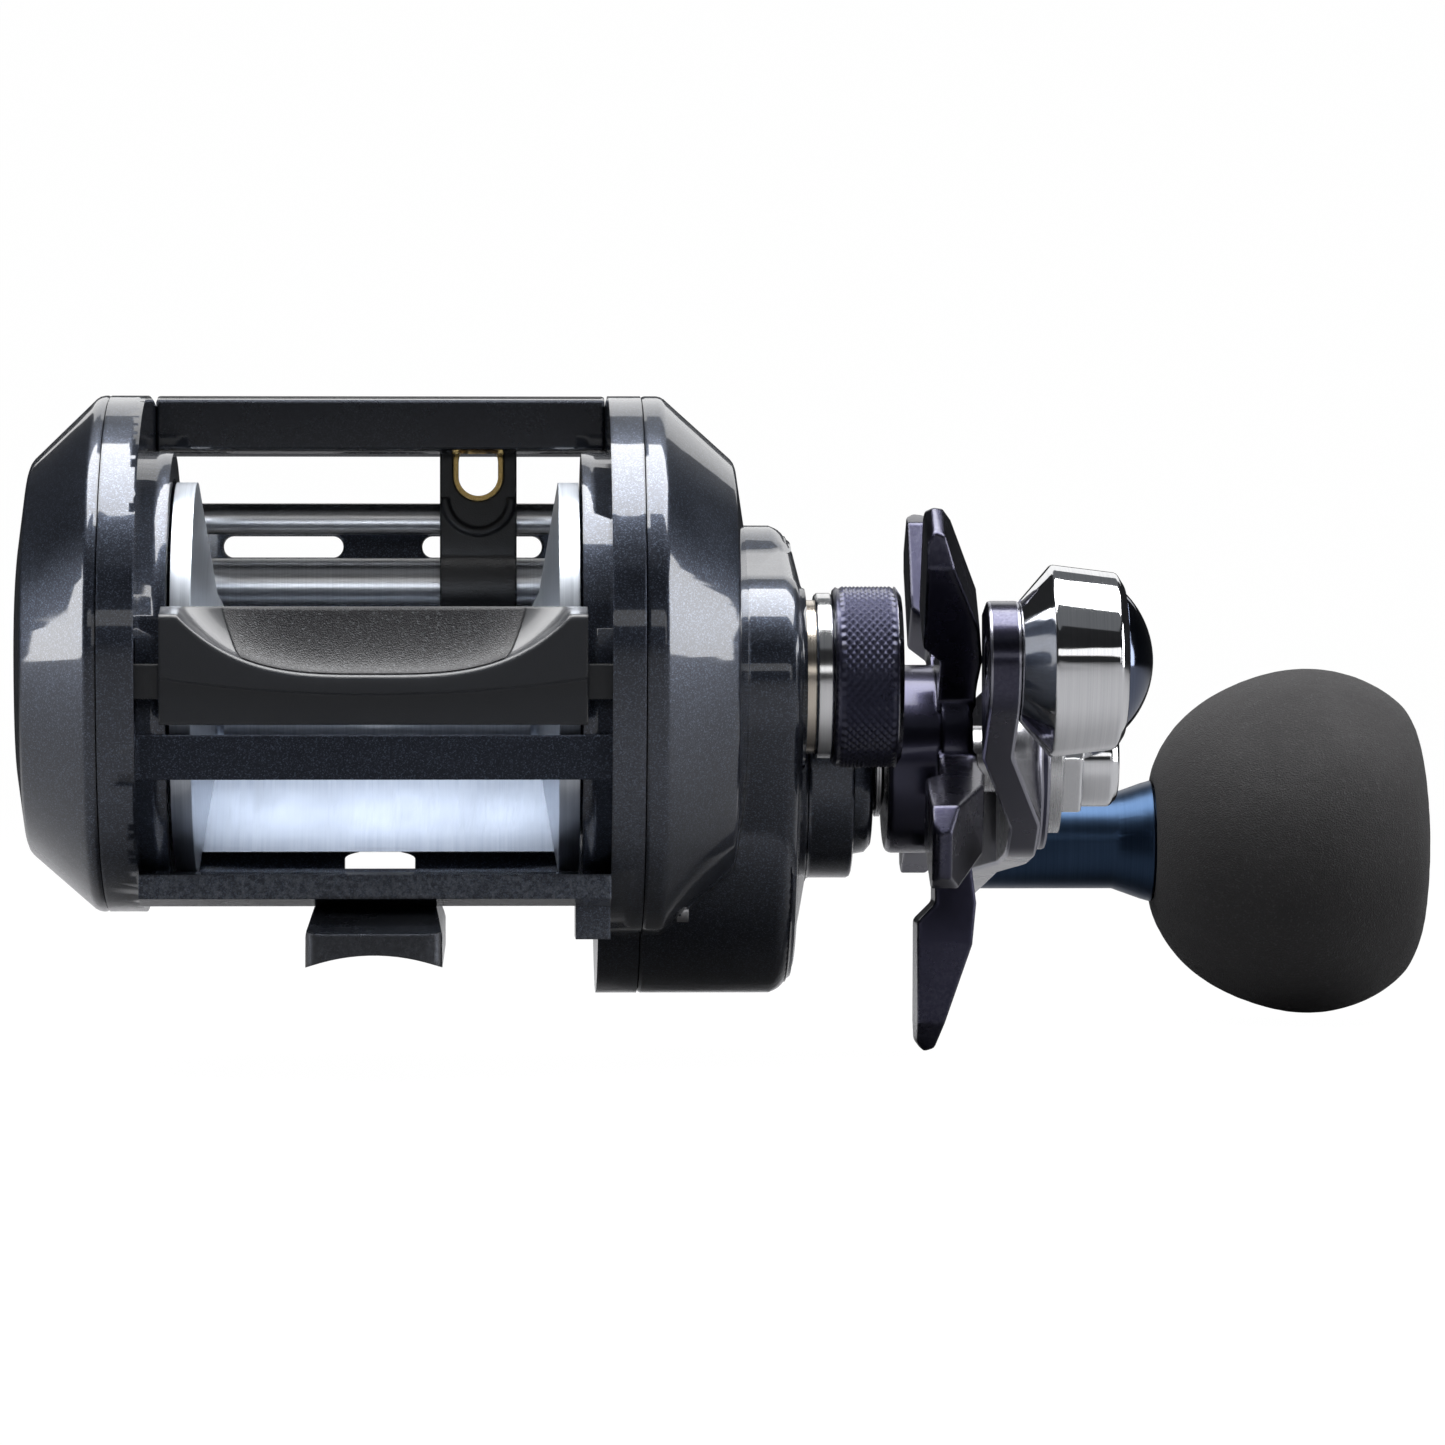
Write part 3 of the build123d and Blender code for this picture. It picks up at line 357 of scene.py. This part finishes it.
def plasticFinish(name, dark, light, low, high, grainScale, grainDepth, edge=0.0003, speckle=0.0,
                  coat=0.0, gloss=0.5):
    s = plasticSurface
    material, tree, sockets, vector = newFinish(name, Coat_Weight=coat, Specular_IOR_Level=gloss,
                                                Coat_Roughness=s["coatRoughness"])
    grain = placeGroup(tree, grainGroup, vector, Scale=grainScale)
    smudges = placeGroup(tree, smudgeGroup, vector, Scale=s["smudgeScale"], Low=low, High=high)
    colour = blendColours(tree, grain["Value"], dark, light)
    if speckle:
        flakes = placeGroup(tree, flakeGroup, vector, Scale=s["speckScale"],
                            Sharpness=s["speckSharpness"])
        specks = maths(tree, "MULTIPLY", flakes["Glint"], speckle)
        colour = blendColours(tree, specks, colour, s["speckColour"])
    wire(tree, colour, sockets["Base Color"])
    wire(tree, smudges["Roughness"], sockets["Roughness"])
    surfaceNormal(tree, sockets, grain["Height"], grainDepth, edge)
    return material


thumbPlastic = plasticFinish("thumbBarPlastic", (0.008, 0.01, 0.014), (0.016, 0.018, 0.024), 0.3, 0.4,
                             9000.0, 0.00001, 0.0005, coat=0.3)
thumbPadGrip = plasticFinish("thumbPadGrip", (0.008, 0.008, 0.0095), (0.024, 0.024, 0.027), 0.3, 0.38,
                             6500.0, 0.00004, 0.0004, speckle=0.2, gloss=0.3)
guidePlastic = plasticFinish("guidePlastic", (0.007, 0.007, 0.008), (0.014, 0.014, 0.015), 0.3, 0.42,
                             7000.0, 0.00002, 0.0004)
innerPlastic = plasticFinish("innerPlastic", (0.012, 0.012, 0.012), (0.024, 0.024, 0.024), 0.45, 0.6,
                             5000.0, 0.00003)
foam = plasticFinish("closedCellFoam", (0.009, 0.0085, 0.009), (0.021, 0.02, 0.021), 0.85, 0.97,
                     5200.0, 0.00007, 0.0, speckle=0.05)
print("finishes ready")

# a finish for each material slot, with some nodes given their own
slotFinish = {"body_paint": bodyPaint, "shield_satin": shieldPaintedSheen, "thumb_gloss": thumbPlastic,
              "thumb_grip": thumbPadGrip, "spool_satin": spoolSilver, "steel": steel, "chrome": chrome,
              "smoke_gloss": smokeMirror, "brass": brass, "dark_anodised": darkAnodised,
              "blue_anodised": blueAnodised, "black_plastic": innerPlastic, "foam": foam}
ownFinish = {"thread_ring": champagne, "cap_collar": collarMetal, "cast_control_cap": capAnodised,
             "counterweight": weightChrome, "guide_insert": guideGold, "worm_tube": wormSteel,
             "guide_rod": wormSteel, "worm_shaft": wormSteel, "reel_foot": footPaint,
             "hood": footPaint, "line_guide": guidePlastic, "drive_shaft": crankSteel,
             "handle_washer": crankSteel, "spool_shaft": steel}
nodeSlot = {part["node"]: part["material_slot"] for part in frame["record"]["subparts"]}
nodeFinish = {name: ownFinish.get(name, slotFinish[nodeSlot[name]]) for name in nodes}
for name, node in nodes.items():
    if not node.material_slots:
        node.data.materials.append(nodeFinish[name])
    for materialSlot in node.material_slots:
        materialSlot.material = nodeFinish[name]


def placePiece(name, bm, node, finish=None, sharp=32):
    bmesh.ops.recalc_face_normals(bm, faces=bm.faces)
    mesh = bpy.data.meshes.new(name)
    bm.to_mesh(mesh)
    bm.free()
    mesh.materials.append(finish or nodeFinish[node])
    mesh.shade_smooth()
    mesh.set_sharp_from_angle(angle=radians(sharp))
    piece = bpy.data.objects.new(name, mesh)
    bpy.context.collection.objects.link(piece)
    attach(piece, body_of(nodes[node])[0])
    evenNormals = piece.modifiers.new("evenNormals", "WEIGHTED_NORMAL")
    evenNormals.mode = "FACE_AREA"
    evenNormals.keep_sharp = True
    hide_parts(node)
    return piece


# weld in millimetres, angles in degrees
meshCare = {"weld": 0.002, "flatAngle": 0.4, "bevelAngle": 28, "bevelSegments": 2}


def cleanCopy(node):
    bm = bmesh.new()
    bm.from_mesh(nodes[node].data)
    bmesh.ops.remove_doubles(bm, verts=bm.verts, dist=meshCare["weld"] * mm)
    bmesh.ops.dissolve_limit(bm, angle_limit=radians(meshCare["flatAngle"]), verts=bm.verts,
                             edges=bm.edges)
    return bm


def roundEdges(bm, width):
    sharpEdges = [edge for edge in bm.edges if len(edge.link_faces) == 2
                  and edge.calc_face_angle() > radians(meshCare["bevelAngle"])]
    made = bmesh.ops.bevel(bm, geom=sharpEdges, offset=width, offset_type="OFFSET",
                           segments=meshCare["bevelSegments"], profile=0.5, affect="EDGES",
                           clamp_overlap=False, material=-1)
    return made["faces"]


# line guide's scoop: a rounded lip under the eye that leads the line in
guideScoop = {"reach": 4.05, "lip": 0.6, "centreHeight": 21.6, "rearFace": 25.75, "steps": 32,
              "sides": 12}


def addGuideScoop(s, bm):
    low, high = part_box("line_guide")
    centre = Vector(((low.x + high.x) / 2, s["rearFace"] * mm, spoolAxis.z + s["centreHeight"] * mm))
    made = bmesh.ops.create_circle(bm, segments=s["sides"], radius=s["lip"] * mm)["verts"]
    bmesh.ops.translate(bm, vec=centre + Vector((s["reach"] * mm, 0, 0)), verts=made)
    rim = list({edge for vert in made for edge in vert.link_edges})
    bmesh.ops.spin(bm, geom=list(made) + rim, cent=centre, axis=(0, 1, 0), angle=pi,
                   steps=s["steps"], dvec=(0, 0, 0))
    openEdges = [edge for edge in bm.edges if edge.is_boundary]
    bmesh.ops.holes_fill(bm, edges=openEdges, sides=s["sides"])


# visible nodes carried over: angle of the edges kept sharp, then the width of rounded ones
smoothed = {"frame": 30, "palm_side_cover": 24, "gear_side_cover": 24, "hood": 24, "front_plate": 28,
            "front_shield": 28, "reel_foot": 28, "guide_rod": 30, "worm_tube": 30, "line_guide": 30,
            "guide_insert": 30, "spool": 28, "bearing_retainer": 30,
            "thread_ring": 30, "cap_collar": 30, "star_drag": 24, "handle_arm": 26,
            "handle_washer": 30, "handle_nut": 20, "nut_cap": 28, "counterweight": 24,
            "counterweight_cap": 30, "knob_ferrule": 24, "cover_screws": 30, "foot_screws": 30,
            "spool_shaft": 30, "knob_spindle": 30}
edgeWidth = {"star_drag": 0.35, "handle_arm": 0.4, "handle_nut": 0.35, "counterweight": 0.3,
             "hood": 0.35, "front_plate": 0.3, "line_guide": 0.25, "knob_ferrule": 0.2,
             "palm_side_cover": 0.5, "gear_side_cover": 0.5, "nut_cap": 0.3}
for name, sharp in smoothed.items():
    bm = cleanCopy(name)
    if name in edgeWidth:
        cutFaces = roundEdges(bm, edgeWidth[name] * mm)
        if name == "handle_arm":
            for face in cutFaces:
                face.material_index = 1
    if name == "line_guide":
        addGuideScoop(guideScoop, bm)
    surface = placePiece(name + "_surface", bm, name, sharp=sharp)
    if name == "handle_arm":
        surface.data.materials.append(cutEdge)   # bright cut edges
print("visible parts smoothed")

# thumb bar: a saddle for the thumb with rolled shoulders and a stepped lower face
thumbBar = {"halfWidth": 24.2, "rear": -33.0, "front": -27.3, "low": -5.3, "top": 8.1,
            "creaseLow": 0.36, "creaseRise": 1.6, "creaseAt": 14.3, "creasePower": 3.3,
            "creaseGap": 0.9, "saddleStart": 0.5, "saddleReach": 1.0, "stepLow": -1.8,
            "stepRise": 1.8, "stepDepth": 0.45, "stepEdge": 0.1, "stepFall": 0.15, "stepGap": 0.8,
            "foot": 0.3, "brow": [(0.0, -0.4), (-0.15, -0.1)],
            "lip": [(0.3, -0.12), (0.1, -0.32), (0.0, -0.7)], "columns": 96, "saddleRows": 14,
            "hollow": 1.8, "sharp": 38}
thumbTongue = {"inset": 1, "depth": 1.5, "height": 4.0, "y": -30.05, "z": -0.4}
thumbPad = {"topHalf": 17.3, "bottomHalf": 14.8, "proud": 0.16, "thick": 0.7, "columns": 80,
            "rows": 18, "from": 0.02, "to": 0.985, "sharp": 40}


def thumbSaddle(s, x, t):
    crease = s["creaseLow"] + s["creaseRise"] * (abs(x) / s["creaseAt"]) ** s["creasePower"]
    crease = min(crease, s["top"] - s["creaseGap"])
    y = s["front"] - s["saddleStart"] + (s["rear"] + s["saddleReach"] - s["front"]) * t
    z = s["top"] - (s["top"] - crease) * (1 - (1 - t) ** s["hollow"])
    return y, z, crease


def thumbProfile(s, x):
    step = s["stepLow"] + s["stepRise"] * (x / s["halfWidth"]) ** 2
    line = [(s["front"] - s["foot"], s["low"]), (s["front"], s["low"] + s["foot"])]
    line += [(s["front"] + back, s["top"] + rise) for back, rise in s["brow"]]
    for row in range(s["saddleRows"] + 1):
        y, z, crease = thumbSaddle(s, x, row / s["saddleRows"])
        line.append((y, z))
    line += [(s["rear"] + back, crease + rise) for back, rise in s["lip"]]
    inner = s["rear"] + s["stepDepth"]
    line += [(s["rear"], min(step + s["stepEdge"], crease - s["stepGap"])),
             (inner, step - s["stepFall"]), (inner, s["low"] + s["foot"]),
             (inner + s["foot"], s["low"])]
    return line


def makeThumbBar(s, tongue):
    rows = len(thumbProfile(s, 0)) + 1
    bm = bmesh.new()
    bmesh.ops.create_grid(bm, x_segments=s["columns"], y_segments=rows - 1, size=0.5)
    for vert in bm.verts:
        x = vert.co.x * 2 * s["halfWidth"]
        profile = thumbProfile(s, x)
        y, z = profile[round((vert.co.y + 0.5) * (rows - 1)) % len(profile)]
        vert.co = Vector((x * mm, y * mm, spoolAxis.z + z * mm))
    bmesh.ops.remove_doubles(bm, verts=bm.verts, dist=0.001 * mm)
    ends = [edge for edge in bm.edges if edge.is_boundary]
    bmesh.ops.holes_fill(bm, edges=ends, sides=0)
    low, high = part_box("thumb_bar")
    start = (s["halfWidth"] - tongue["inset"]) * mm
    reach = max(abs(low.x), abs(high.x)) - start
    for side in (-1, 1):
        middle = Vector((side * (start + reach / 2), tongue["y"] * mm, spoolAxis.z + tongue["z"] * mm))
        made = bmesh.ops.create_cube(bm, size=1.0)["verts"]
        bmesh.ops.scale(bm, vec=(reach, tongue["depth"] * mm, tongue["height"] * mm), verts=made)
        bmesh.ops.translate(bm, vec=middle, verts=made)
    return bm


def makeThumbPad(s, bar):
    bm = bmesh.new()
    bmesh.ops.create_grid(bm, x_segments=s["columns"], y_segments=s["rows"], size=0.5)
    for vert in bm.verts:
        t = s["from"] + (s["to"] - s["from"]) * (vert.co.y + 0.5)
        x = vert.co.x * 2 * (s["topHalf"] + (s["bottomHalf"] - s["topHalf"]) * t)
        y, z, _ = thumbSaddle(bar, x, t)
        vert.co = Vector((x * mm, y * mm, spoolAxis.z + z * mm))
    bmesh.ops.recalc_face_normals(bm, faces=bm.faces)
    bm.normal_update()
    if sum((face.normal.z for face in bm.faces)) < 0:
        bmesh.ops.reverse_faces(bm, faces=bm.faces)
        bm.normal_update()
    for vert in bm.verts:
        vert.co += vert.normal * s["proud"] * mm
    bmesh.ops.solidify(bm, geom=bm.faces, thickness=s["thick"] * mm)
    return bm


placePiece("thumbBarSaddle", makeThumbBar(thumbBar, thumbTongue), "thumb_bar",
           sharp=thumbBar["sharp"])
placePiece("thumbPadLayer", makeThumbPad(thumbPad, thumbBar), "thumb_pad", sharp=thumbPad["sharp"])
print("thumb bar ready")

# cast control cap: turned blank with a diamond knurl between two plain rims
controlCap = {"start": 53.4, "end": 61.4, "radius": 10.7, "bore": 8.15, "floor": 58.5,
              "innerRim": [(0.0, -0.45), (0.35, -0.1)], "outerRim": [(0.12, -0.05), (0.25, -0.1)],
              "chamfer": 1.0, "brightStart": 0.3, "brightEnd": 0.05, "knurlFrom": 54.1,
              "knurlTo": 60.55, "rows": 14, "columns": 120, "depth": 0.3, "sharp": 18}


def makeControlCap(s):
    rows = [(s["floor"], 0.0), (s["floor"], s["bore"]), (s["start"], s["bore"])]
    rows += [(s["start"] + along, s["radius"] + out) for along, out in s["innerRim"]]
    low = s["radius"] - s["depth"]
    pitch = (s["knurlTo"] - s["knurlFrom"]) / s["rows"]
    rows += [(s["knurlFrom"] + pitch * row, low) for row in range(s["rows"] + 1)]
    rows += [(s["knurlTo"] + along, s["radius"] + out) for along, out in s["outerRim"]]
    rows += [(s["end"], s["radius"] - s["chamfer"]), (s["end"], 0.0)]
    bm = bmesh.new()
    line = [bm.verts.new((x * mm, spoolAxis.y, spoolAxis.z + r * mm)) for x, r in rows]
    edges = [bm.edges.new(pair) for pair in zip(line, line[1:])]
    bmesh.ops.spin(bm, geom=line + edges, cent=spoolAxis, axis=(1, 0, 0), angle=2 * pi, steps=s["columns"],
                   use_merge=True, dvec=(0, 0, 0))
    bmesh.ops.remove_doubles(bm, verts=bm.verts, dist=0.001 * mm)
    raised = set()
    for vert in bm.verts:
        offset = vert.co - spoolAxis
        row = (vert.co.x / mm - s["knurlFrom"]) / pitch
        around = sqrt(offset.y ** 2 + offset.z ** 2)
        if -0.1 < row < s["rows"] + 0.1 and abs(around - low * mm) < 0.05 * mm:
            column = round(atan2(offset.y, offset.z) / (2 * pi) * s["columns"])
            if (round(row) + column) % 2 == 0 and 0.5 < row < s["rows"] - 0.5:
                raised.add(vert)
    for face in list(bm.faces):
        tops = [vert for vert in face.verts if vert in raised]
        lows = [vert for vert in face.verts if vert not in raised]
        if len(tops) == 2 and len(lows) == 2:
            bmesh.utils.face_split(face, lows[0], lows[1])
    for vert in raised:
        outward = Vector((0, vert.co.y - spoolAxis.y, vert.co.z - spoolAxis.z)).normalized()
        vert.co += outward * s["depth"] * mm
    return bm


capPiece = placePiece("castControlCap", makeControlCap(controlCap), "cast_control_cap",
                      sharp=controlCap["sharp"])
capPiece.data.materials.append(collarMetal)   # bright cut chamfer on the outer rim
brightLow = (controlCap["knurlTo"] + controlCap["brightStart"]) * mm
brightHigh = (controlCap["end"] - controlCap["brightEnd"]) * mm
for face in capPiece.data.polygons:
    if brightLow < face.center.x < brightHigh:
        face.material_index = 1
print("knurled cap ready")

# foam knob: even skin over the ball, with shallow uneven dents
foamKnob = {"voxel": 0.55, "smooth": 6, "dents": 0.1, "dentScale": 90.0, "pores": 0.035,
            "poreScale": 900.0, "sharp": 60}


def makeFoamKnob(s):
    rough = bpy.data.objects.new("foamBlank", bpy.data.meshes.new("foamBlank"))
    bpy.context.collection.objects.link(rough)
    blank = cleanCopy("knob_grip")
    blank.to_mesh(rough.data)
    blank.free()
    remesh = rough.modifiers.new("evenSkin", "REMESH")
    remesh.mode = "VOXEL"
    remesh.voxel_size = s["voxel"] * mm
    bm = bmesh.new()
    bm.from_object(rough, bpy.context.evaluated_depsgraph_get())
    bpy.data.objects.remove(rough)
    for _ in range(s["smooth"]):
        bmesh.ops.smooth_vert(bm, verts=bm.verts, factor=0.5, use_axis_x=True, use_axis_y=True,
                              use_axis_z=True)
    bm.normal_update()
    for vert in bm.verts:
        dent = noise.noise(vert.co * s["dentScale"]) * s["dents"] - s["dents"]
        pore = noise.noise(vert.co * s["poreScale"]) * s["pores"]
        vert.co += vert.normal * (dent + pore) * mm
    return bm


foamBall = placePiece("foamKnob", makeFoamKnob(foamKnob), "knob_grip", sharp=foamKnob["sharp"])
print("foam knob ready")

# studio sweep: a round floor that curves up into a wall, bright to the camera only
stageFloor = {"level": cadBox[0].z - 0.4 * mm, "radius": 2.6, "wall": 3.4, "height": 2.8,
              "curveSteps": 8, "around": 96, "weld": 0.0001, "colour": (0.2, 0.2, 0.205, 1),
              "roughness": 0.9, "glow": 1.07, "cameraShare": 0.93}


def makeStage(s):
    bm = bmesh.new()
    outline = [(0.0, 0.0), (s["radius"], 0.0)]
    bend = s["wall"] - s["radius"]
    for step in range(1, s["curveSteps"] + 1):
        turn = radians(90 * step / s["curveSteps"])
        outline.append((s["radius"] + bend * sin(turn), bend * (1 - cos(turn))))
    outline.append((s["wall"], s["height"]))
    line = [bm.verts.new((reach, 0, s["level"] + rise)) for reach, rise in outline]
    edges = [bm.edges.new(pair) for pair in zip(line, line[1:])]
    bmesh.ops.spin(bm, geom=line + edges, cent=(0, 0, 0), axis=(0, 0, 1), angle=2 * pi,
                   steps=s["around"], use_merge=True, dvec=(0, 0, 0))
    bmesh.ops.remove_doubles(bm, verts=bm.verts, dist=s["weld"])
    bmesh.ops.recalc_face_normals(bm, faces=bm.faces)
    bmesh.ops.reverse_faces(bm, faces=bm.faces)
    mesh = bpy.data.meshes.new("studioSweep")
    bm.to_mesh(mesh)
    bm.free()
    mesh.shade_smooth()
    sweep = bpy.data.objects.new("studioSweep", mesh)
    bpy.context.collection.objects.link(sweep)
    material = bpy.data.materials.new("paleSweep")
    material.use_nodes = True
    tree = material.node_tree
    shader = tree.nodes["Principled BSDF"]
    shader.inputs["Base Color"].default_value = s["colour"]
    shader.inputs["Roughness"].default_value = s["roughness"]
    glow = addNode(tree, "ShaderNodeEmission", Strength=s["glow"])
    glow.inputs["Color"].default_value = (1, 1, 1, 1)
    path = addNode(tree, "ShaderNodeLightPath")
    mix = addNode(tree, "ShaderNodeMixShader")
    wire(tree, maths(tree, "MULTIPLY", path.outputs["Is Camera Ray"], s["cameraShare"]), mix.inputs[0])
    wire(tree, shader.outputs[0], mix.inputs[1])
    wire(tree, glow.outputs[0], mix.inputs[2])
    wire(tree, mix.outputs[0], tree.nodes["Material Output"].inputs["Surface"])
    mesh.materials.append(material)


makeStage(stageFloor)

softboxes = {
    "overheadBox": {"place": (0.04, 0.02, 0.55), "aim": (0.04, 0.0, 0.0), "size": (0.95, 0.42),
                    "watts": 11.0},
    "leftStrip": {"place": (-0.8, 0.02, 0.05), "aim": (0.0, 0.0, 0.03), "size": (0.26, 0.5),
                  "watts": 3.0},
    "rightStrip": {"place": (0.85, -0.05, 0.08), "aim": (0.05, 0.0, 0.03), "size": (0.4, 0.6),
                   "watts": 5.0},
    "cameraPanelLow": {"place": (0.05, -1.5, 0.32), "aim": (0.05, 0.0, 0.03), "size": (1.9, 0.22),
                       "watts": 1.6},
    "cameraPanelSide": {"place": (0.75, -1.1, 0.05), "aim": (0.05, 0.0, 0.03), "size": (0.35, 0.5),
                        "watts": 0.5},
    "backFill": {"place": (0.1, 0.9, 0.5), "aim": (0.04, 0.0, 0.03), "size": (0.9, 0.5),
                 "watts": 1.5},
}


def aimed(place, aim):
    return (Vector(aim) - Vector(place)).to_track_quat("-Z", "Y").to_euler()


for name, s in softboxes.items():
    light = bpy.data.lights.new(name, "AREA")
    light.shape = "RECTANGLE"
    light.size, light.size_y = s["size"]
    light.energy = s["watts"]
    lamp = bpy.data.objects.new(name, light)
    lamp.location = s["place"]
    lamp.rotation_euler = aimed(s["place"], s["aim"])
    bpy.context.collection.objects.link(lamp)

studioAir = {"colour": (0.9, 0.94, 1.0, 1), "strength": 0.15}
world = bpy.data.worlds.new("studioAir")
world.use_nodes = True
background = world.node_tree.nodes["Background"]
background.inputs["Color"].default_value = studioAir["colour"]
background.inputs["Strength"].default_value = studioAir["strength"]
bpy.context.scene.world = world
bpy.context.scene.view_settings.view_transform = "Standard"
bpy.context.scene.view_settings.look = "None"

cameraSetup = {"place": (0.0126, -0.8, 0.0338), "aim": (0.0405, 0.0, 0.02595), "lens": 169.4,
               "sensor": 36.0, "clip": (0.05, 20)}
camera = bpy.data.objects.new("productCamera", bpy.data.cameras.new("productCamera"))
camera.location = cameraSetup["place"]
camera.data.lens = cameraSetup["lens"]
camera.data.sensor_width = cameraSetup["sensor"]
camera.data.clip_start, camera.data.clip_end = cameraSetup["clip"]
camera.rotation_euler = aimed(cameraSetup["place"], cameraSetup["aim"])
bpy.context.collection.objects.link(camera)
bpy.context.scene.camera = camera
print("stage, lights and camera ready")
